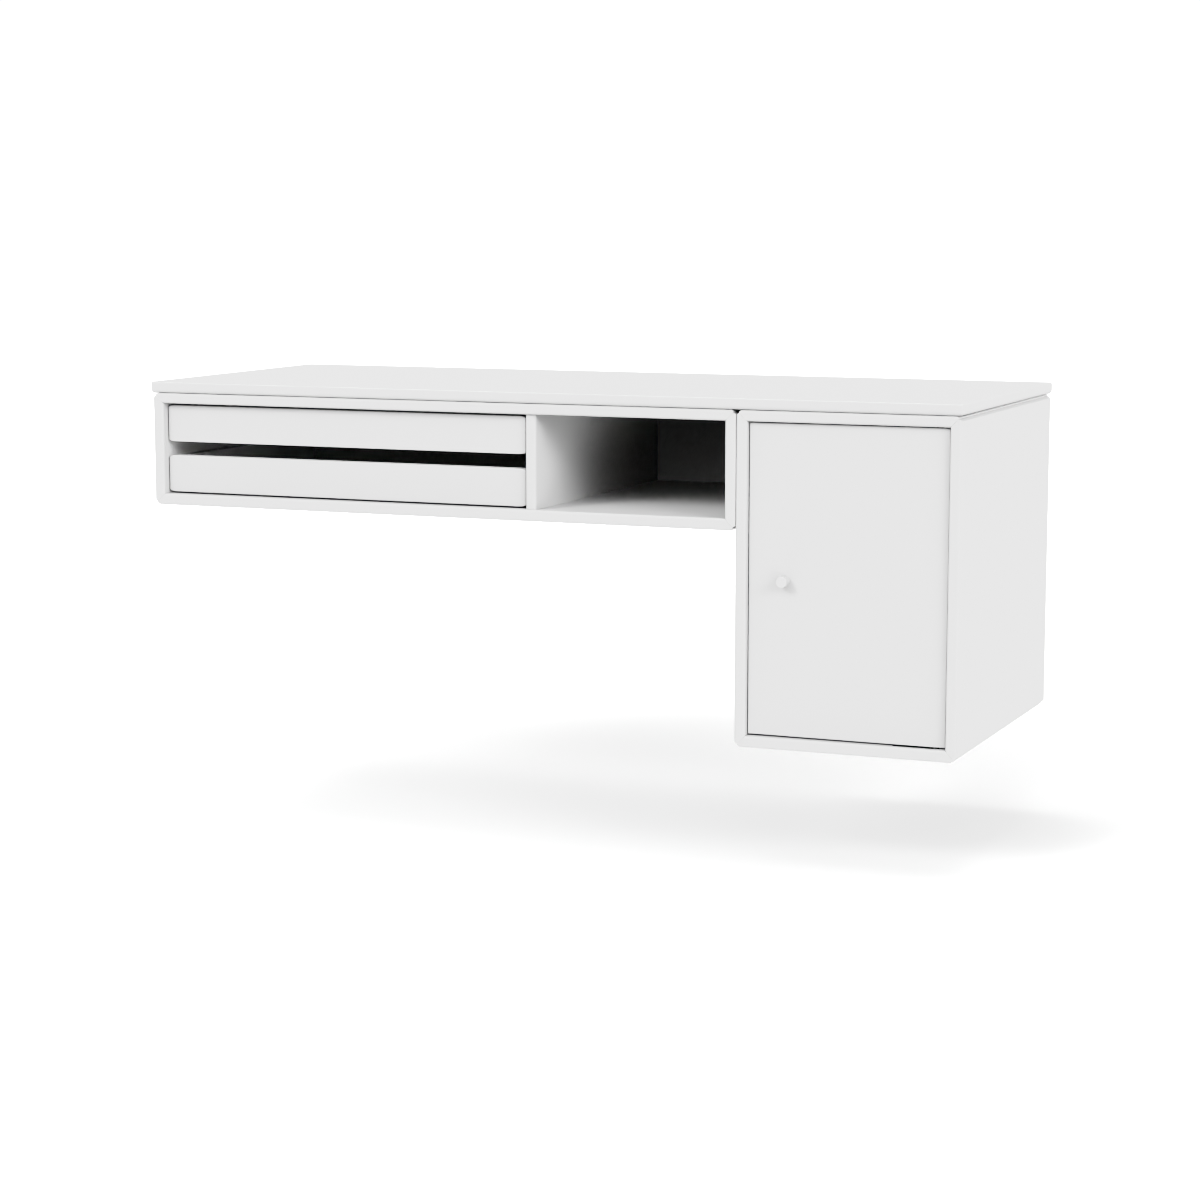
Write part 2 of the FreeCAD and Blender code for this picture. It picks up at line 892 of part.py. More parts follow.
door_left = door_case.left + board + size("door_gap_left")
door_right = door_case.right - board - size("door_gap_right")
door_high = door_case.high - board - size("door_gap_top")
door_low = door_case.low + board + size("door_gap_bottom")
door_y = front_y + size("door_setback")
door_rear = door_y + size("door_thickness")
pivot_x = door_right - size("pivot_inset")
pivot_y = door_y + size("pivot_depth")
leaf = size("leaf_thickness")


def leaf_blank(way, face_z, play):
    """A round-ended strip that lies under a face, with some play all round but not above the face."""
    half = size("leaf_width") / 2 + play
    depth = leaf + play
    low = face_z if way == "+z" else face_z - depth
    strip = box(
        (pivot_x - size("leaf_length") - play, pivot_y - half, low), (pivot_x, pivot_y + half, low + depth)
    )
    return fuse([strip, rod((pivot_x, pivot_y, low), "+z", half, depth)])


def leaf_places(way, face_z):
    """The leaf's two screws."""
    starts = [size("leaf_screw_start"), size("leaf_screw_start") + size("leaf_screw_pitch")]
    return [((pivot_x - start, pivot_y, face_z), way) for start in starts]


case_screw_places = []
door_screw_places = []
hinge_pins = []
hinge_washers = []
door_tools = []
for level, case_face, door_face, spare, into_case, into_door in (
    ("upper", door_case.high - board, door_high, size("door_gap_top"), "+z", "-z"),
    ("lower", door_case.low + board, door_low, size("door_gap_bottom"), "-z", "+z"),
):
    pin_from = along((pivot_x, pivot_y, case_face), into_case, leaf)
    pin_length = leaf * 2 + spare
    pin = rod(pin_from, into_door, size("pivot_radius"), pin_length)
    hinge_pins.append(pin)
    loose_radius = size("pivot_radius") + size("pivot_clearance")
    loose = rod(along(pin_from, into_case, gap), into_door, loose_radius, pin_length + gap * 2)
    face_point = (pivot_x, pivot_y, case_face)
    ring = rod(face_point, into_door, size("washer_radius"), spare - size("washer_clearance"))
    hinge_washers.append(cut(ring, [loose]))
    places = leaf_places(into_case, case_face)
    case_screw_places += places
    _, holes = screws(None, places, size("leaf_screw_radius"), size("leaf_screw_length"))
    node(f"{level}_hinge_case_leaf", cut(leaf_blank(into_case, case_face, as_size(0)), [pin] + holes))
    door_case.drills += [leaf_blank(into_case, case_face, gap)] + holes
    places = leaf_places(into_door, door_face)
    door_screw_places += places
    _, holes = screws(None, places, size("leaf_screw_radius"), size("door_screw_length"))
    door_leaf = leaf_blank(into_door, door_face, as_size(0))
    node(f"{level}_hinge_door_leaf", cut(door_leaf, [loose] + holes))
    door_tools += [leaf_blank(into_door, door_face, gap)] + holes
node("hinge_pins", group(hinge_pins))
node("hinge_washers", group(hinge_washers))
screws("hinge_case_screws", case_screw_places, size("leaf_screw_radius"), size("leaf_screw_length"))
screws("hinge_door_screws", door_screw_places, size("leaf_screw_radius"), size("door_screw_length"))

# knob and its screw
knob_x = door_left + size("knob_inset")
knob_z = (door_high + door_low) / 2
knob_radius = size("knob_radius")
knob_body = new_body("door_knob_blank")
half_profile = rectangle(
    as_size(0),
    door_y - size("knob_length"),
    knob_radius,
    door_y,
    (None, size("knob_edge_round"), None, None),
)
knob_sketch = new_sketch(knob_body, "XY_Plane", 0, [half_profile])
turned = knob_body.newObject("PartDesign::Revolution", "door_knob_turned")
turned.Profile = knob_sketch
turned.ReferenceAxis = (knob_sketch, ["V_Axis"])
turned.Angle = 360
place(knob_body, (knob_x, as_size(0), knob_z))
screw_radius = size("knob_screw_radius")
screw_start = (knob_x, door_rear, knob_z)
screw_reach = size("door_thickness") + size("knob_screw_bite")
knob_bore = rod(screw_start, "-y", screw_radius + gap, screw_reach + gap)
node("door_knob", cut(knob_body, [knob_bore]))
node("knob_screw", fuse([
    rod(screw_start, "-y", screw_radius, screw_reach),
    rod(screw_start, "+y", size("knob_screw_head_radius"), size("knob_screw_head")),
]))
door_tools.append(knob_bore)

# magnetic catch under the case's top, and the strike plate on the door
catch_left = door_left + size("catch_inset")
catch_right = catch_left + size("catch_length")
catch_high = door_case.high - board
catch_low = catch_high - size("catch_height")
catch_y = door_rear + size("strike_thickness") + size("strike_clearance")
catch_rear = catch_y + size("catch_depth")
catch_x = (catch_left + catch_right) / 2
catch_z = (catch_high + catch_low) / 2
magnet_half = size("magnet_length") / 2
magnet_rise = size("magnet_height") / 2
magnet = box(
    (catch_x - magnet_half, catch_y, catch_z - magnet_rise),
    (catch_x + magnet_half, catch_y + size("magnet_depth"), catch_z + magnet_rise),
)
catch_side = (size("catch_length") - size("magnet_length")) / 4
catch_places = [
    ((x, catch_y + size("catch_depth") / 2, catch_low), "+z")
    for x in (catch_left + catch_side, catch_right - catch_side)
]
_, catch_holes = screws(
    "catch_screws", catch_places, size("catch_screw_radius"), size("catch_screw_length")
)
housing = box((catch_left, catch_y, catch_low), (catch_right, catch_rear, catch_high))
node("magnet_catch", cut(housing, [magnet] + catch_holes))
node("catch_magnet", magnet)
door_case.drills += catch_holes
strike_point = (catch_x, door_rear, catch_z)
strike_face = along(strike_point, "+y", size("strike_thickness"))
strike_screws, strike_holes = screws(
    None, [(strike_face, "-y")], size("catch_screw_radius"), size("strike_screw_length")
)
strike_disc = rod(strike_point, "+y", size("strike_radius"), size("strike_thickness"))
node("strike_plate", cut(strike_disc, strike_holes))
node("strike_screw", strike_screws[0])
door_tools += strike_holes

# door panel
door_body = new_body("door_panel_blank")
door_outline = rectangle(door_left, door_low, door_right, door_high)
door_pad = pad(
    door_body, new_sketch(door_body, "XZ_Plane", -door_rear, [door_outline]), size("door_thickness")
)
face_y = door_y.number
round_edges(door_body, door_pad, size("door_edge_round"), lambda span: abs(span.YMax - face_y) < 1e-4)
node("door_panel", cut(door_body, door_tools))

build_case(long_case)
build_case(door_case)

# ---------------------------------------------------------------- checks and files

doc.recompute()
for thing in doc.Objects:
    if "Invalid" in thing.State or "Error" in thing.State:
        raise RuntimeError(f"{thing.Name} ({thing.Label}) failed: {thing.State}")
os.makedirs("parts", exist_ok=True)
for piece in nodes:
    shape = piece.Shape
    if shape.isNull() or not shape.isValid() or not shape.Solids:
        raise RuntimeError(f"{piece.Label} has no valid solid")
for piece in nodes:
    piece.Shape.exportStep(f"parts/{piece.Label}.step")
print(len(nodes), "pieces")
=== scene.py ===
import json
import math

import bmesh
import bpy
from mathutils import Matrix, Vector


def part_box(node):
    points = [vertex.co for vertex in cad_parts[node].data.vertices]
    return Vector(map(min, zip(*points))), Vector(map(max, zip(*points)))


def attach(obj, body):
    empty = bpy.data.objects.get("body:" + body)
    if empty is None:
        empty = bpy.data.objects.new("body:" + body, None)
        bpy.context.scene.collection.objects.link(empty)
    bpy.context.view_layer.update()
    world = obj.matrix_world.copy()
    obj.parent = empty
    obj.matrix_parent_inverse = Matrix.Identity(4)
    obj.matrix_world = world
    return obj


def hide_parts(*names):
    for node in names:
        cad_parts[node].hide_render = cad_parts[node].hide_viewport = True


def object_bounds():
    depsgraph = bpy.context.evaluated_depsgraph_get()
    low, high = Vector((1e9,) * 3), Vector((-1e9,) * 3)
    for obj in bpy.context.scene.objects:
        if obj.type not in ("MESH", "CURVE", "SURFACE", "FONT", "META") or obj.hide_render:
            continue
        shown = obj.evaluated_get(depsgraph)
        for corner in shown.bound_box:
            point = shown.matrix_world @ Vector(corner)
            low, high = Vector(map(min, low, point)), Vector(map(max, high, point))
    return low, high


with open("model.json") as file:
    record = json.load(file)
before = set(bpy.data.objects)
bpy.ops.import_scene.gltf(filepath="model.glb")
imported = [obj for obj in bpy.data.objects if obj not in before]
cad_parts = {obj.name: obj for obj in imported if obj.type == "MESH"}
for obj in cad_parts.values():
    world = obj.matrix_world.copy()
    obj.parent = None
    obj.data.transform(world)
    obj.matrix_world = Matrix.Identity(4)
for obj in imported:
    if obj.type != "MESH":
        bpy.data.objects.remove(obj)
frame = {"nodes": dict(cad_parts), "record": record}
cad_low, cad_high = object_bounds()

# A wall-hung desk in white lacquer. Sizes are in metres, in the frame's own axes: +X to the right, +Y into
# the wall, +Z up.
MM = 0.001
AXIS_X = 0
AXIS_Z = 2
SAME_PLACE = 0.01 * MM
MERGE_WITHIN = 0.001 * MM
SMOOTH_ANGLE = math.radians(32)
FLAT_ANGLE = math.radians(0.5)
ARRIS = 0.5 * MM
ARRIS_STEPS = 2

# frames of the cases
FRONT_ROUND = 2.5 * MM
FRONT_STEPS = 8
SEAT_ROUND = 3.8 * MM
SEAT_STEPS = 4
DIVIDER_ROUND = 3 * MM
DIVIDER_STEPS = 7
CORNER_MITRE = 3.2 * MM
CORNER_NOTCH = 2.2 * MM
CORNER_RUN = 5.8 * MM
CORNER_SIDE = 5.6 * MM

# desk top
TOP_ROUND = 1.8 * MM
TOP_UNDER_ROUND = 4 * MM
TOP_STEPS = 5

# front edges of the trays and the door
PANEL_ROUND = 1.0 * MM
PANEL_STEPS = 4

# trays, whose corners reach further along the front than they rise
TRAY_CORNER_REACH = 8 * MM
TRAY_CORNER_RISE = 2.7 * MM
TRAY_CORNER_STEPS = 8
TRAY_FRONT_ARRIS = 0.3 * MM
TRAY_SIDE_ARRIS = 0.6 * MM
TRAY_BACK_ARRIS = 0.8 * MM
TRAY_SHEET_ARRIS = 0.2 * MM
TRAY_ARRIS_STEPS = 3
GROOVE_PLAY = 0.3 * MM
PAST_BOARD = 10 * MM

# knob
KNOB_SIDES = 96
KNOB_ROUND = 0.8 * MM
KNOB_ROUND_STEPS = 5

# driver recesses; the cross's reach and width are shares of the head's radius
CROSS_REACH = 0.6
CROSS_WIDTH = 0.15
CROSS_DEPTH = 1.1 * MM
HEX_SIDES = 6
HEX_RADIUS = 2.3 * MM
HEX_DEPTH = 1.5 * MM
HEAD_ARRIS = 0.3 * MM


# ---------------------------------------------------------------- modelling helpers


def deselect():
    if bpy.context.object and bpy.context.object.mode != "OBJECT":
        bpy.ops.object.mode_set(mode="OBJECT")
    bpy.ops.object.select_all(action="DESELECT")


def pick(piece):
    """Makes one piece the only selected and active one."""
    deselect()
    piece.select_set(True)
    bpy.context.view_layer.objects.active = piece


def edit_all(piece):
    """Opens one piece for editing with all of its mesh selected."""
    pick(piece)
    bpy.ops.object.mode_set(mode="EDIT")
    bpy.ops.mesh.select_all(action="SELECT")


def settle(piece, name):
    """Names a new piece, and puts its object's place, turn and scale into its mesh."""
    piece.name = name
    piece.data.name = name
    pick(piece)
    bpy.ops.object.transform_apply(location=True, rotation=True, scale=True)
    return piece


def block(name, low, high):
    """A box between two corners."""
    deselect()
    low = Vector(low)
    high = Vector(high)
    bpy.ops.mesh.primitive_cube_add(size=1, location=(low + high) / 2)
    piece = bpy.context.object
    piece.scale = high - low
    return settle(piece, name)


def disc(name, start, axis, radius, length, sides):
    """A bar from a point along +X or +Y."""
    deselect()
    turn = {"x": (0, math.pi / 2, 0), "y": (-math.pi / 2, 0, 0)}[axis]
    way = {"x": Vector((1, 0, 0)), "y": Vector((0, 1, 0))}[axis]
    bpy.ops.mesh.primitive_cylinder_add(
        vertices=sides, radius=radius, depth=length, location=Vector(start) + way * length / 2, rotation=turn
    )
    return settle(bpy.context.object, name)


def round_edges(piece, wanted, radius, steps):
    """Bevels the edges whose two ends pass a test."""
    pick(piece)
    bpy.ops.object.mode_set(mode="EDIT")
    bpy.ops.mesh.select_mode(type="EDGE")
    bpy.ops.mesh.select_all(action="DESELECT")
    mesh = bmesh.from_edit_mesh(piece.data)
    for edge in mesh.edges:
        edge.select = wanted(edge.verts[0].co, edge.verts[1].co)
    bmesh.update_edit_mesh(piece.data)
    bpy.ops.mesh.bevel(offset=radius, segments=steps, profile=0.5, affect="EDGES")
    bpy.ops.object.mode_set(mode="OBJECT")


def round_front(piece, front, radius, steps):
    """Rounds all edges that lie in the front face."""
    round_edges(piece, lambda a, b: near(a.y, front) and near(b.y, front), radius, steps)


def scale_upright(piece, level, share):
    """Stretches or squeezes the piece up and down about a level."""
    edit_all(piece)
    bpy.ops.transform.resize(value=(1, 1, share), center_override=(0, 0, level))
    bpy.ops.object.mode_set(mode="OBJECT")


def slice_off(piece, point, outward):
    """Cuts the piece with a plane and drops what lies outside."""
    pick(piece)
    bpy.ops.object.mode_set(mode="EDIT")
    bpy.ops.mesh.select_mode(type="FACE")
    bpy.ops.mesh.select_all(action="SELECT")
    bpy.ops.mesh.bisect(plane_co=point, plane_no=outward, use_fill=True, clear_outer=True)
    bpy.ops.object.mode_set(mode="OBJECT")


def soften(piece, arris=ARRIS, steps=ARRIS_STEPS):
    """Takes the arris off every sharp edge."""
    pick(piece)
    soft = piece.modifiers.new("arris", "BEVEL")
    soft.width = arris
    soft.segments = steps
    soft.limit_method = "ANGLE"
    soft.angle_limit = SMOOTH_ANGLE
    bpy.ops.object.modifier_apply(modifier=soft.name)


def finish_mesh(piece):
    """Smooths the shading across rounds, with the flat faces kept flat."""
    pick(piece)
    bpy.ops.object.shade_smooth_by_angle(angle=SMOOTH_ANGLE)
    weighted = piece.modifiers.new("flat_faces", "WEIGHTED_NORMAL")
    weighted.keep_sharp = True
    bpy.ops.object.modifier_apply(modifier=weighted.name)


def carve(piece, cutter):
    """Cuts one closed mesh out of another and deletes the cutter."""
    pick(piece)
    tool = piece.modifiers.new("carve", "BOOLEAN")
    tool.operation = "DIFFERENCE"
    tool.solver = "EXACT"
    tool.object = cutter
    bpy.ops.object.modifier_apply(modifier=tool.name)
    bpy.data.objects.remove(cutter)


def node_copy(node):
    """A merged copy of a CAD node's mesh."""
    original = frame["nodes"][node]
    copy = bpy.data.objects.new(f"{node}_cutter", original.data.copy())
    bpy.context.scene.collection.objects.link(copy)
    edit_all(copy)
    bpy.ops.mesh.remove_doubles(threshold=MERGE_WITHIN)
    bpy.ops.object.mode_set(mode="OBJECT")
    return copy


def filled_copy(node):
    """A CAD node's outer shape with its holes closed, to cut its pocket with."""
    copy = node_copy(node)
    edit_all(copy)
    bpy.ops.mesh.convex_hull()
    bpy.ops.object.mode_set(mode="OBJECT")
    return copy


def dress(piece, body, material, slot, *nodes):
    """Gives a finished piece its material and its body, and hides the nodes that it stands for."""
    piece.data.materials.clear()
    piece.data.materials.append(material)
    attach(piece, body)
    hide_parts(*nodes)


def near(a, b):
    return abs(a - b) < SAME_PLACE


# ---------------------------------------------------------------- shared surface effects

# noise runs from 0 to 1 about this value
NOISE_MIDDLE = 0.5

# sprayed lacquer
PEEL_SCALE = 900.0
WAVE_SCALE = 140.0
WAVE_SHARE = 1.5
CLOUD_SCALE = 9.0
CLOUD_GLOSS = 0.12
SPRAY_BUMP = 0.2 * MM

# timber, along Y
GRAIN_STRETCH = (160.0, 5.0, 160.0)
PORE_STRETCH = (1500.0, 70.0, 1500.0)
PORE_LEVEL = 0.62
GRAIN_BUMP = 0.2 * MM

# drawn metal, along X
LINE_STRETCH = (40.0, 3000.0, 3000.0)
LINE_GLOSS = 0.3
LINE_BUMP = 0.1 * MM
SPECKLE_SCALE = 600.0
SPECKLE_TONE = 0.2


def new_group(name, inputs, outputs):
    """A shader node group with named inputs and outputs; returns it with its two end nodes."""
    group = bpy.data.node_groups.new(name, "ShaderNodeTree")
    for label, kind, value in inputs:
        socket = group.interface.new_socket(label, in_out="INPUT", socket_type=kind)
        if value is not None:
            socket.default_value = value
    for label, kind in outputs:
        group.interface.new_socket(label, in_out="OUTPUT", socket_type=kind)
    return group, group.nodes.new("NodeGroupInput"), group.nodes.new("NodeGroupOutput")


def add(tree, kind, **values):
    """A node with its sockets' values, given by name."""
    made = tree.nodes.new(kind)
    for label, value in values.items():
        made.inputs[label].default_value = value
    return made


def math_node(tree, operation, first, second=None):
    """One step of arithmetic on sockets or numbers."""
    made = tree.nodes.new("ShaderNodeMath")
    made.operation = operation
    for k, value in enumerate((first, second)):
        if value is None:
            continue
        if isinstance(value, (int, float)):
            made.inputs[k].default_value = value
        else:
            tree.links.new(value, made.inputs[k])
    return made.outputs[0]


def scaled(tree, value, share):
    return math_node(tree, "MULTIPLY", value, share)


def centred(tree, texture):
    """A noise texture's value, moved so that it runs about zero."""
    return math_node(tree, "SUBTRACT", texture.outputs["Fac"], NOISE_MIDDLE)


def stretched_noise(tree, coordinates, stretch, **values):
    """Noise drawn out by a different scale along each axis."""
    mapping = add(tree, "ShaderNodeMapping", Scale=stretch)
    tree.links.new(coordinates, mapping.inputs["Vector"])
    noise = add(tree, "ShaderNodeTexNoise", Scale=1.0, **values)
    tree.links.new(mapping.outputs["Vector"], noise.inputs["Vector"])
    return noise


def build_spray_group():
    """Sprayed lacquer: a fine orange peel, slow waves under it, and faint clouds in tone and gloss."""
    group, start, end = new_group(
        "sprayed_surface",
        [
            ("Vector", "NodeSocketVector", None),
            ("Peel", "NodeSocketFloat", 0.02),
            ("Cloud", "NodeSocketFloat", 0.01),
            ("Roughness", "NodeSocketFloat", 0.4),
        ],
        [("Normal", "NodeSocketVector"), ("Roughness", "NodeSocketFloat"), ("Tone", "NodeSocketFloat")],
    )
    link = group.links.new
    peel = add(group, "ShaderNodeTexNoise", Scale=PEEL_SCALE, Detail=2.0, Roughness=0.5)
    wave = add(group, "ShaderNodeTexNoise", Scale=WAVE_SCALE, Detail=1.0)
    cloud = add(group, "ShaderNodeTexNoise", Scale=CLOUD_SCALE, Detail=3.0)
    for texture in (peel, wave, cloud):
        link(start.outputs["Vector"], texture.inputs["Vector"])
    height = math_node(group, "ADD", peel.outputs["Fac"], scaled(group, wave.outputs["Fac"], WAVE_SHARE))
    bump = add(group, "ShaderNodeBump", Distance=SPRAY_BUMP)
    link(start.outputs["Peel"], bump.inputs["Strength"])
    link(height, bump.inputs["Height"])
    link(bump.outputs["Normal"], end.inputs["Normal"])
    drift = centred(group, cloud)
    gloss = math_node(group, "ADD", start.outputs["Roughness"], scaled(group, drift, CLOUD_GLOSS))
    link(gloss, end.inputs["Roughness"])
    tone = scaled(group, drift, start.outputs["Cloud"])
    link(math_node(group, "ADD", tone, 1.0), end.inputs["Tone"])
    return group


def build_grain_group():
    """Wood: long streaks along Y with pores between them."""
    group, start, end = new_group(
        "straight_grain",
        [("Vector", "NodeSocketVector", None), ("Depth", "NodeSocketFloat", 0.3)],
        [("Streak", "NodeSocketFloat"), ("Pore", "NodeSocketFloat"), ("Normal", "NodeSocketVector")],
    )
    link = group.links.new
    streak = stretched_noise(group, start.outputs["Vector"], GRAIN_STRETCH, Detail=5.0, Distortion=0.4)
    pores = stretched_noise(group, start.outputs["Vector"], PORE_STRETCH, Detail=2.0)
    pore = math_node(group, "GREATER_THAN", pores.outputs["Fac"], PORE_LEVEL)
    bump = add(group, "ShaderNodeBump", Distance=GRAIN_BUMP)
    link(start.outputs["Depth"], bump.inputs["Strength"])
    link(math_node(group, "SUBTRACT", streak.outputs["Fac"], pore), bump.inputs["Height"])
    link(streak.outputs["Fac"], end.inputs["Streak"])
    link(pore, end.inputs["Pore"])
    link(bump.outputs["Normal"], end.inputs["Normal"])
    return group


def build_draw_group():
    """Drawn or ground metal: fine lines along X, and a fine speckle."""
    group, start, end = new_group(
        "drawn_lines",
        [
            ("Vector", "NodeSocketVector", None),
            ("Roughness", "NodeSocketFloat", 0.3),
            ("Depth", "NodeSocketFloat", 0.2),
        ],
        [("Normal", "NodeSocketVector"), ("Roughness", "NodeSocketFloat"), ("Tone", "NodeSocketFloat")],
    )
    link = group.links.new
    lines = stretched_noise(group, start.outputs["Vector"], LINE_STRETCH, Detail=3.0)
    speckle = add(group, "ShaderNodeTexNoise", Scale=SPECKLE_SCALE, Detail=2.0)
    link(start.outputs["Vector"], speckle.inputs["Vector"])
    bump = add(group, "ShaderNodeBump", Distance=LINE_BUMP)
    link(start.outputs["Depth"], bump.inputs["Strength"])
    link(lines.outputs["Fac"], bump.inputs["Height"])
    link(bump.outputs["Normal"], end.inputs["Normal"])
    spread = scaled(group, centred(group, lines), LINE_GLOSS)
    link(math_node(group, "ADD", start.outputs["Roughness"], spread), end.inputs["Roughness"])
    tone = scaled(group, centred(group, speckle), SPECKLE_TONE)
    link(math_node(group, "ADD", tone, 1.0), end.inputs["Tone"])
    return group


SPRAY = build_spray_group()
GRAIN = build_grain_group()
DRAWN = build_draw_group()


# ---------------------------------------------------------------- finishes

LACQUER_SHINE = 0.1
TIMBER_ROUGHNESS = 0.6
GRAIN_DEPTH = 0.35
PORE_TONE = 0.6
PORE_SHARE = 0.5


def new_material(name, **values):
    """A material with its Principled shader and Object coordinates."""
    material = bpy.data.materials.new(name)
    material.use_nodes = True
    tree = material.node_tree
    shader = tree.nodes["Principled BSDF"]
    for label, value in values.items():
        shader.inputs[label.replace("_", " ")].default_value = value
    place = tree.nodes.new("ShaderNodeTexCoord")
    return material, tree, shader, place.outputs["Object"]


def place_group(tree, group, coordinates, **values):
    """A shared effect in a material, with the material's own values."""
    made = tree.nodes.new("ShaderNodeGroup")
    made.node_tree = group
    tree.links.new(coordinates, made.inputs["Vector"])
    for label, value in values.items():
        made.inputs[label].default_value = value
    return made


def shaded(tree, colour, factor):
    """A colour multiplied by a changing tone."""
    mix = tree.nodes.new("ShaderNodeMix")
    mix.data_type = "RGBA"
    mix.blend_type = "MULTIPLY"
    mix.inputs["Factor"].default_value = 1.0
    mix.inputs["A"].default_value = (*colour, 1.0)
    tree.links.new(factor, mix.inputs["B"])
    return mix.outputs["Result"]


def cover(tree, shader, effect, colour):
    """Feeds a shader with a colour and with the tone, roughness and normal of a shared effect."""
    tree.links.new(shaded(tree, colour, effect.outputs["Tone"]), shader.inputs["Base Color"])
    tree.links.new(effect.outputs["Roughness"], shader.inputs["Roughness"])
    tree.links.new(effect.outputs["Normal"], shader.inputs["Normal"])


def lacquer(name, colour, roughness, peel, cloud):
    """Sprayed or moulded surface: lacquer, foil, plastic or rubber."""
    material, tree, shader, coordinates = new_material(name, Specular_IOR_Level=LACQUER_SHINE)
    spray = place_group(tree, SPRAY, coordinates, Peel=peel, Cloud=cloud, Roughness=roughness)
    cover(tree, shader, spray, colour)
    return material


def metal(name, colour, roughness, depth):
    """Drawn or plated metal."""
    material, tree, shader, coordinates = new_material(name, Metallic=1.0)
    drawn = place_group(tree, DRAWN, coordinates, Roughness=roughness, Depth=depth)
    cover(tree, shader, drawn, colour)
    return material


def timber(name, pale, dark):
    """Bare sanded hardwood."""
    material, tree, shader, coordinates = new_material(name, Roughness=TIMBER_ROUGHNESS)
    grain = place_group(tree, GRAIN, coordinates, Depth=GRAIN_DEPTH)
    ramp = tree.nodes.new("ShaderNodeMix")
    ramp.data_type = "RGBA"
    ramp.inputs["A"].default_value = (*pale, 1.0)
    ramp.inputs["B"].default_value = (*dark, 1.0)
    tree.links.new(grain.outputs["Streak"], ramp.inputs["Factor"])
    pores = tree.nodes.new("ShaderNodeMix")
    pores.data_type = "RGBA"
    pores.inputs["B"].default_value = (*(part * PORE_TONE for part in dark), 1.0)
    tree.links.new(ramp.outputs["Result"], pores.inputs["A"])
    tree.links.new(scaled(tree, grain.outputs["Pore"], PORE_SHARE), pores.inputs["Factor"])
    tree.links.new(pores.outputs["Result"], shader.inputs["Base Color"])
    tree.links.new(grain.outputs["Normal"], shader.inputs["Normal"])
    return material


# lacquers: colour, roughness, depth of the peel and strength of the clouds
CASE_WHITE = (0.80, 0.80, 0.80)
DEEP_BLACK = (0.03, 0.03, 0.03)
case_lacquer = lacquer("case_lacquer", CASE_WHITE, 0.42, 0.05, 0.012)
top_lacquer = lacquer("top_lacquer", CASE_WHITE, 0.38, 0.05, 0.012)
front_lacquer = lacquer("front_lacquer", CASE_WHITE, 0.42, 0.05, 0.012)
knob_lacquer = lacquer("knob_lacquer", CASE_WHITE, 0.36, 0.03, 0.008)
back_foil = lacquer("back_foil", (0.76, 0.76, 0.755), 0.55, 0.09, 0.02)
white_plastic = lacquer("moulded_plastic", (0.74, 0.74, 0.72), 0.5, 0.12, 0.02)
nylon = lacquer("black_nylon", DEEP_BLACK, 0.55, 0.08, 0.1)
rubber = lacquer("buffer_rubber", DEEP_BLACK, 0.75, 0.5, 0.2)

# timber: pale and dark streaks
beech = timber("beech", (0.52, 0.34, 0.19), (0.38, 0.22, 0.11))

# metals: colour, roughness and depth of the lines
aluminium = metal("drawn_aluminium", (0.36, 0.365, 0.37), 0.35, 0.25)
zinc = metal("zinc_plate", (0.27, 0.275, 0.29), 0.38, 0.15)
stainless = metal("ground_stainless", (0.29, 0.285, 0.28), 0.28, 0.3)
magnet_steel = metal("magnet_steel", (0.26, 0.26, 0.27), 0.4, 0.2)

SLOT_MATERIALS = {
    "white_lacquer": case_lacquer,
    "white_knob": knob_lacquer,
    "beech": beech,
    "zinc_steel": zinc,
    "stainless_steel": stainless,
    "nylon": nylon,
    "aluminium": aluminium,
    "rubber": rubber,
    "white_plastic": white_plastic,
    "magnet_steel": magnet_steel,
}
SLOT_OF = {entry["node"]: entry["material_slot"] for entry in frame["record"]["subparts"]}
BODY_OF = {node: body for body, nodes in frame["record"]["behaviour"]["bodies"].items() for node in nodes}
for carried_node, slot_name in SLOT_OF.items():
    carried = frame["nodes"][carried_node]
    carried.data.materials.clear()
    carried.data.materials.append(SLOT_MATERIALS[slot_name])


# ---------------------------------------------------------------- cases

FRAME_EDGES = ("top_board", "bottom_board", "left_side", "right_side")

# the boards that a hinge leaf is let into
HINGE_BOARDS = {
    "door_case_top_board": "upper_hinge_case_leaf",
    "door_case_bottom_board": "lower_hinge_case_leaf",
}


def span(boxes):
    """The two outer corners of all of these boxes."""
    low = Vector([min(box[0][k] for box in boxes) for k in range(3)])
    high = Vector([max(box[1][k] for box in boxes) for k in range(3)])
    return low, high


def end_profile(flat, thickness):
    """A board's end from its outer face inwards, as distances from the case's two outer faces."""
    if flat:
        path = [(0, CORNER_RUN), (CORNER_NOTCH, CORNER_MITRE), (CORNER_MITRE, CORNER_MITRE)]
    else:
        path = [(0, CORNER_SIDE), (CORNER_MITRE, CORNER_MITRE)]
    return path + [(thickness, thickness)]


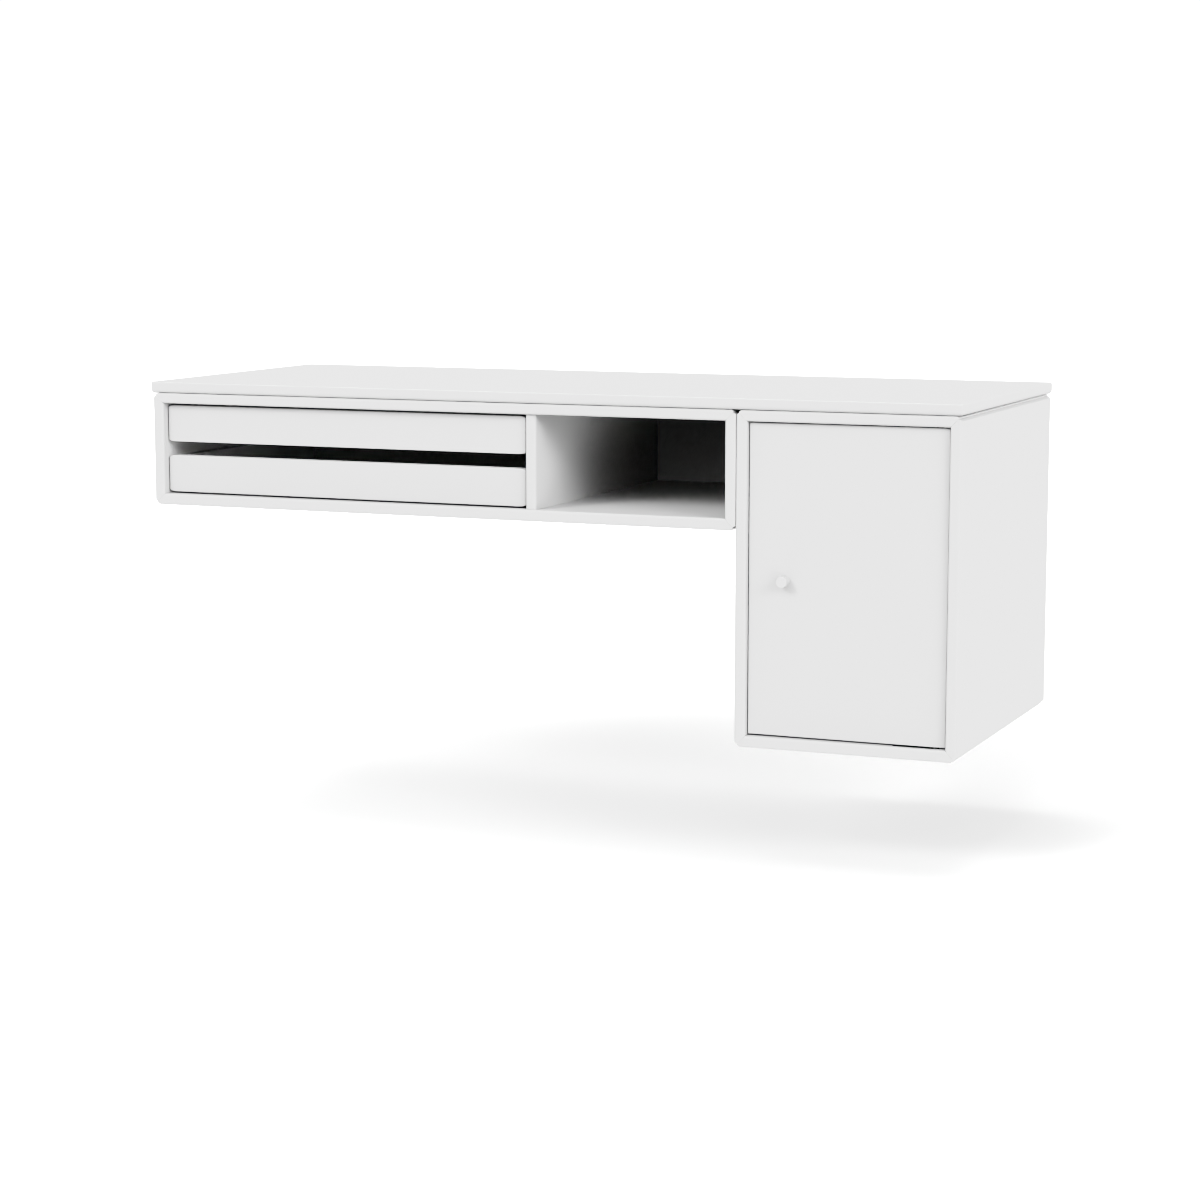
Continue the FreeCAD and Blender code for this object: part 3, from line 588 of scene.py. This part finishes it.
def frame_board(case, edge):
    """One mitred board: rounded front edges, stepped outer corners and a rebate for the back panel."""
    low, high = span([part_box(f"{case}_{name}") for name in FRAME_EDGES])
    node = f"{case}_{edge}"
    flat = edge in ("top_board", "bottom_board")
    axis = AXIS_Z if flat else AXIS_X
    other = AXIS_X if flat else AXIS_Z
    upper = edge in ("top_board", "right_side")
    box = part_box(node)
    thickness = box[1][axis] - box[0][axis]
    start = Vector(low)
    end = Vector(high)
    if upper:
        start[axis] = high[axis] - thickness
    else:
        end[axis] = low[axis] + thickness
    board = block(f"{node}_mitred", start, end)

    front = low.y
    for face in (start[axis], end[axis]):
        under_top = edge == "top_board" and near(face, high.z)
        bend, steps = (SEAT_ROUND, SEAT_STEPS) if under_top else (FRONT_ROUND, FRONT_STEPS)
        round_edges(
            board,
            lambda a, b: all(near(spot.y, front) and near(spot[axis], face) for spot in (a, b)),
            bend,
            steps,
        )

    outer = high[axis] if upper else low[axis]
    out_sign = 1 if upper else -1
    path = end_profile(flat, thickness)
    for end_sign, end_face in ((-1, low[other]), (1, high[other])):
        for (depth_a, run_a), (depth_b, run_b) in zip(path, path[1:]):
            point = Vector((0, 0, 0))
            point[axis] = outer - out_sign * depth_a
            point[other] = end_face - end_sign * run_a
            outward = Vector((0, 0, 0))
            outward[axis] = out_sign * (run_a - run_b)
            outward[other] = end_sign * (depth_b - depth_a)
            outward = outward.normalized()
            inside = (start + end) / 2 - point
            inside.y = 0
            if outward.dot(inside) > 0:
                outward = -outward
            slice_off(board, point, outward)

    rebate_low, rebate_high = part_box(f"{case}_back_panel")
    rebate_high = Vector((rebate_high.x, high.y + thickness, rebate_high.z))
    carve(board, block("rebate", rebate_low, rebate_high))
    soften(board)
    if edge == "top_board":
        carve(board, node_copy("desk_top_screws"))
    if node in HINGE_BOARDS:
        carve(board, filled_copy(HINGE_BOARDS[node]))
    finish_mesh(board)
    dress(board, "desk", case_lacquer, "white_lacquer", node)


def back_panel(case):
    """The case's back panel, with holes for its pins."""
    node = f"{case}_back_panel"
    low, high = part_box(node)
    panel = block(f"{node}_board", low, high)
    carve(panel, node_copy(f"{case}_back_pins"))
    finish_mesh(panel)
    dress(panel, "desk", back_foil, "white_lacquer", node)


for case_name in ("long_case", "door_case"):
    for edge_name in FRAME_EDGES:
        frame_board(case_name, edge_name)
    back_panel(case_name)

divider_low, divider_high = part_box("long_case_divider")
divider = block("divider_board", divider_low, divider_high)
round_edges(
    divider,
    lambda a, b: near(a.y, divider_low.y) and near(b.y, divider_low.y) and not near(a.z, b.z),
    DIVIDER_ROUND,
    DIVIDER_STEPS,
)
finish_mesh(divider)
dress(divider, "desk", case_lacquer, "white_lacquer", "long_case_divider")


# ---------------------------------------------------------------- desk top

top_low, top_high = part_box("desk_top")
desk_top = block("desk_top_board", top_low, top_high)
round_edges(desk_top, lambda a, b: not near(a.z, b.z), TOP_ROUND, TOP_STEPS)
for level, bend in ((top_low.z, TOP_UNDER_ROUND), (top_high.z, TOP_ROUND)):
    round_edges(desk_top, lambda a, b: near(a.z, level) and near(b.z, level), bend, TOP_STEPS)
finish_mesh(desk_top)
dress(desk_top, "desk", top_lacquer, "white_lacquer", "desk_top")


# ---------------------------------------------------------------- trays


def tray_front(body):
    """The front: four corners rounded further along than up, front edges softened."""
    node = f"{body}_front"
    low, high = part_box(node)
    board = block(f"{node}_board", low, high)
    stretch = TRAY_CORNER_REACH / TRAY_CORNER_RISE
    middle = (low.z + high.z) / 2
    scale_upright(board, middle, stretch)
    round_edges(board, lambda a, b: not near(a.y, b.y), TRAY_CORNER_REACH, TRAY_CORNER_STEPS)
    scale_upright(board, middle, 1 / stretch)
    round_front(board, low.y, PANEL_ROUND, PANEL_STEPS)
    soften(board, TRAY_FRONT_ARRIS)
    finish_mesh(board)
    dress(board, body, front_lacquer, "white_lacquer", node)


def tray_side(body, side):
    """A side with the groove that its runner lies in."""
    node = f"{body}_{side}_side"
    low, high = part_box(node)
    runner_low, runner_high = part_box(f"{body}_{side}_runner")
    board = block(f"{node}_board", low, high)
    groove_low = Vector((low.x - PAST_BOARD, low.y - PAST_BOARD, runner_low.z - GROOVE_PLAY))
    groove_high = Vector((runner_high.x + GROOVE_PLAY, high.y + PAST_BOARD, runner_high.z + GROOVE_PLAY))
    if side == "right":
        groove_low.x = runner_low.x - GROOVE_PLAY
        groove_high.x = high.x + PAST_BOARD
    carve(board, block("groove", groove_low, groove_high))
    soften(board, TRAY_SIDE_ARRIS)
    finish_mesh(board)
    dress(board, body, front_lacquer, "white_lacquer", node)


def tray_board(name, node, body, material, arris):
    """A plain board of a tray with its arrises taken off."""
    low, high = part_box(node)
    board = block(name, low, high)
    soften(board, arris, TRAY_ARRIS_STEPS)
    finish_mesh(board)
    dress(board, body, material, "white_lacquer", node)


def tray_runner(body, side):
    """The strip in the case that a tray's side slides on, with holes for its screws."""
    node = f"{body}_{side}_runner"
    low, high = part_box(node)
    strip = block(f"{node}_strip", low, high)
    carve(strip, node_copy("runner_screws"))
    finish_mesh(strip)
    dress(strip, "desk", beech, "beech", node)


for tray in ("upper_tray", "lower_tray"):
    tray_front(tray)
    for side_name in ("left", "right"):
        tray_side(tray, side_name)
    tray_board(f"{tray}_back_board", f"{tray}_back", tray, front_lacquer, TRAY_BACK_ARRIS)
    tray_board(f"{tray}_bottom_sheet", f"{tray}_bottom", tray, back_foil, TRAY_SHEET_ARRIS)
    for side_name in ("left", "right"):
        tray_runner(tray, side_name)


# ---------------------------------------------------------------- door and knob

door_low, door_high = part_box("door_panel")
door = block("door_board", door_low, door_high)
round_front(door, door_low.y, PANEL_ROUND, PANEL_STEPS)
for level in ("upper", "lower"):
    carve(door, filled_copy(f"{level}_hinge_door_leaf"))
finish_mesh(door)
dress(door, "door", front_lacquer, "white_lacquer", "door_panel")

knob_low, knob_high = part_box("door_knob")
knob_centre = (knob_low + knob_high) / 2
knob_start = (knob_centre.x, knob_low.y, knob_centre.z)
knob_radius = (knob_high.x - knob_low.x) / 2
knob = disc("knob_turned", knob_start, "y", knob_radius, knob_high.y - knob_low.y, KNOB_SIDES)
round_front(knob, knob_low.y, KNOB_ROUND, KNOB_ROUND_STEPS)
finish_mesh(knob)
dress(knob, "door", knob_lacquer, "white_knob", "door_knob")


# ---------------------------------------------------------------- fasteners and fittings


def head_of(screw):
    """The radius and the middle of a screw's head face, and the number of the axis that it faces along."""
    spots = [vertex.co.copy() for vertex in screw.data.vertices]
    low, high = span([(spot, spot) for spot in spots])
    axis = max(range(3), key=lambda k: high[k] - low[k])
    ends = []
    for face in (low[axis], high[axis]):
        middle = (low + high) / 2
        middle[axis] = face
        ends.append((max((spot - middle).length for spot in spots if near(spot[axis], face)), middle))
    radius, middle = max(ends, key=lambda end: end[0])
    return radius, middle, axis


def cross_recess(screw):
    """Two crossed slots in the head, sized to it."""
    radius, middle, axis = head_of(screw)
    for side in range(3):
        if side == axis:
            continue
        half = Vector([radius * CROSS_WIDTH] * 3)
        half[side] = radius * CROSS_REACH
        half[axis] = CROSS_DEPTH
        carve(screw, block("slot", middle - half, middle + half))


def hex_recess(bolt):
    """A six-sided socket in a bolt's head, which faces along X."""
    middle = head_of(bolt)[1]
    start = middle - Vector((HEX_DEPTH, 0, 0))
    carve(bolt, disc("socket", start, "x", HEX_RADIUS, HEX_DEPTH * 2, HEX_SIDES))


def dress_as_node(piece, node):
    """Gives a piece that stands for one node that node's own body and material."""
    dress(piece, BODY_OF[node], SLOT_MATERIALS[SLOT_OF[node]], SLOT_OF[node], node)


def driven(node, recess, arris=0):
    """A node's screws, each with a recess for its driver."""
    edit_all(node_copy(node))
    bpy.ops.mesh.separate(type="LOOSE")
    bpy.ops.object.mode_set(mode="OBJECT")
    screws = list(bpy.context.selected_objects)
    for screw in screws:
        recess(screw)
        if arris:
            soften(screw, arris)
    pick(screws[0])
    for screw in screws:
        screw.select_set(True)
    if len(screws) > 1:
        bpy.ops.object.join()
    screws[0].name = f"{node}_driven"
    finish_mesh(screws[0])
    dress_as_node(screws[0], node)


def eased(node, arris):
    """A node's own shape with its sharp edges and bends eased."""
    piece = node_copy(node)
    piece.name = f"{node}_eased"
    edit_all(piece)
    bpy.ops.mesh.dissolve_limited(angle_limit=FLAT_ANGLE)
    bpy.ops.object.mode_set(mode="OBJECT")
    soften(piece, arris)
    finish_mesh(piece)
    dress_as_node(piece, node)


for countersunk_node in (
    "desk_top_screws",
    "cleat_screws",
    "runner_screws",
    "hinge_case_screws",
    "hinge_door_screws",
    "catch_screws",
    "strike_screw",
):
    driven(countersunk_node, cross_recess)
driven("knob_screw", cross_recess, HEAD_ARRIS)
driven("case_connector_bolts", hex_recess, HEAD_ARRIS)
for eased_node, eased_arris in (
    ("long_wall_rail", 0.5 * MM),
    ("door_wall_rail", 0.5 * MM),
    ("long_case_cleat", 0.5 * MM),
    ("door_case_cleat", 0.5 * MM),
    ("case_connector_sleeves", 0.3 * MM),
    ("magnet_catch", 0.5 * MM),
    ("strike_plate", 0.2 * MM),
    ("wall_buffers", 1.5 * MM),
):
    eased(eased_node, eased_arris)


# ---------------------------------------------------------------- floor

FLOOR_DROP = 122 * MM
FLOOR_SIZE = 60.0
FLOOR_GLOW = 1.05
FLOOR_TONE = 0.93

deselect()
bpy.ops.mesh.primitive_plane_add(size=FLOOR_SIZE, location=(0, 0, cad_low.z - FLOOR_DROP))
floor = bpy.context.object
floor.name = "floor"
floor.visible_diffuse = False
floor.visible_glossy = False
floor.visible_shadow = False

# pale from above and clear from below
floor_material = bpy.data.materials.new("pale_floor")
floor_material.use_nodes = True
floor_tree = floor_material.node_tree
floor_tree.nodes.clear()
glow = add(floor_tree, "ShaderNodeEmission", Strength=FLOOR_GLOW)
matte = add(floor_tree, "ShaderNodeBsdfDiffuse", Color=(FLOOR_TONE, FLOOR_TONE, FLOOR_TONE, 1.0))
both = floor_tree.nodes.new("ShaderNodeAddShader")
from_below = floor_tree.nodes.new("ShaderNodeNewGeometry").outputs["Backfacing"]
clear = floor_tree.nodes.new("ShaderNodeBsdfTransparent")
one_way = floor_tree.nodes.new("ShaderNodeMixShader")
floor_out = floor_tree.nodes.new("ShaderNodeOutputMaterial")
floor_tree.links.new(glow.outputs[0], both.inputs[0])
floor_tree.links.new(matte.outputs[0], both.inputs[1])
floor_tree.links.new(from_below, one_way.inputs[0])
floor_tree.links.new(both.outputs[0], one_way.inputs[1])
floor_tree.links.new(clear.outputs[0], one_way.inputs[2])
floor_tree.links.new(one_way.outputs[0], floor_out.inputs["Surface"])
floor.data.materials.append(floor_material)


# ---------------------------------------------------------------- light

# each light as bearing, height, tightness and strength
STUDIO_LIGHTS = {
    "key_right": (63.3, 22.5, 36.8, 25.0),
    "low_right": (48.3, -18.6, 33.1, 9.05),
    "front_left": (-29.1, 32.8, 60.0, 34.0),
    "front_right": (18.7, 33.0, 33.1, 3.2),
    "high_right": (15.1, 40.5, 33.1, 5.6),
    "low_front": (-4.5, 15.8, 33.1, 0.7),
    "overhead": (-130.7, 79.5, 30.1, 11.4),
    "low_left": (-85.7, -68.7, 33.1, 23.4),
    "back_right": (150.0, -12.0, 3.0, 2.94),
    "back_left": (-120.0, -12.0, 3.0, 2.94),
}
EVEN_LIGHT = 0.02
BACKDROP = 3.0

scene = bpy.context.scene
world = bpy.data.worlds.new("studio")
scene.world = world
world.use_nodes = True
sky = world.node_tree
dome = sky.nodes["Background"]
dome.inputs["Color"].default_value = (1.0, 1.0, 1.0, 1.0)
sky_way = sky.nodes.new("ShaderNodeTexCoord").outputs["Generated"]


def soft_light(bearing, height, tightness, strength):
    """A round soft light far away: bearing 0 is in front, 90 on the right, and height 0 is level."""
    bearing = math.radians(bearing)
    height = math.radians(height)
    aim = sky.nodes.new("ShaderNodeVectorMath")
    aim.operation = "DOT_PRODUCT"
    aim.inputs[1].default_value = (
        math.cos(height) * math.sin(bearing),
        -math.cos(height) * math.cos(bearing),
        math.sin(height),
    )
    sky.links.new(sky_way, aim.inputs[0])
    off_axis = math_node(sky, "SUBTRACT", aim.outputs["Value"], 1.0)
    falloff = math_node(sky, "EXPONENT", scaled(sky, off_axis, tightness))
    return scaled(sky, falloff, strength)


all_lights = EVEN_LIGHT
for light in STUDIO_LIGHTS.values():
    all_lights = math_node(sky, "ADD", all_lights, soft_light(*light))
seen_directly = sky.nodes.new("ShaderNodeLightPath").outputs["Is Camera Ray"]
backdrop = scaled(sky, seen_directly, BACKDROP)
sky.links.new(math_node(sky, "MAXIMUM", all_lights, backdrop), dome.inputs["Strength"])


# ---------------------------------------------------------------- film and camera

FILTER_WIDTH = 1.0

# film curve: white lacquer levels off on a soft shoulder, and the backdrop burns out to paper white
SHOULDER = 0.9
STRAIGHT_FROM = 2.27
BURNT_OUT = 2.85
CURVE_STEPS = 14
CURVE_SPACING = 1.5
COMBINED_CURVE = 3

LENS = 85.0
SENSOR = 36.0
CLIP_END = 100.0
CAMERA_PLACE = (1.3374, -3.1352, 0.24835)
CAMERA_TILT = math.radians(82.0)
CAMERA_BEARING = math.radians(22.5)

scene.cycles.diffuse_bounces = 0
scene.cycles.filter_width = FILTER_WIDTH
view = scene.view_settings
view.view_transform = "Standard"
view.look = "None"
view.use_curve_mapping = True
view.curve_mapping.white_level = (BURNT_OUT, BURNT_OUT, BURNT_OUT)
film = view.curve_mapping.curves[COMBINED_CURVE]
for step in range(1, CURVE_STEPS + 1):
    light_in = STRAIGHT_FROM * (step / CURVE_STEPS) ** CURVE_SPACING
    film.points.new(light_in / BURNT_OUT, SHOULDER * (1 - math.exp(-light_in / SHOULDER)))
view.curve_mapping.update()

camera_data = bpy.data.cameras.new("camera")
camera_data.lens = LENS
camera_data.sensor_width = SENSOR
camera_data.clip_end = CLIP_END
camera = bpy.data.objects.new("camera", camera_data)
camera.location = CAMERA_PLACE
camera.rotation_euler = (CAMERA_TILT, 0.0, CAMERA_BEARING)
scene.collection.objects.link(camera)
scene.camera = camera

deselect()
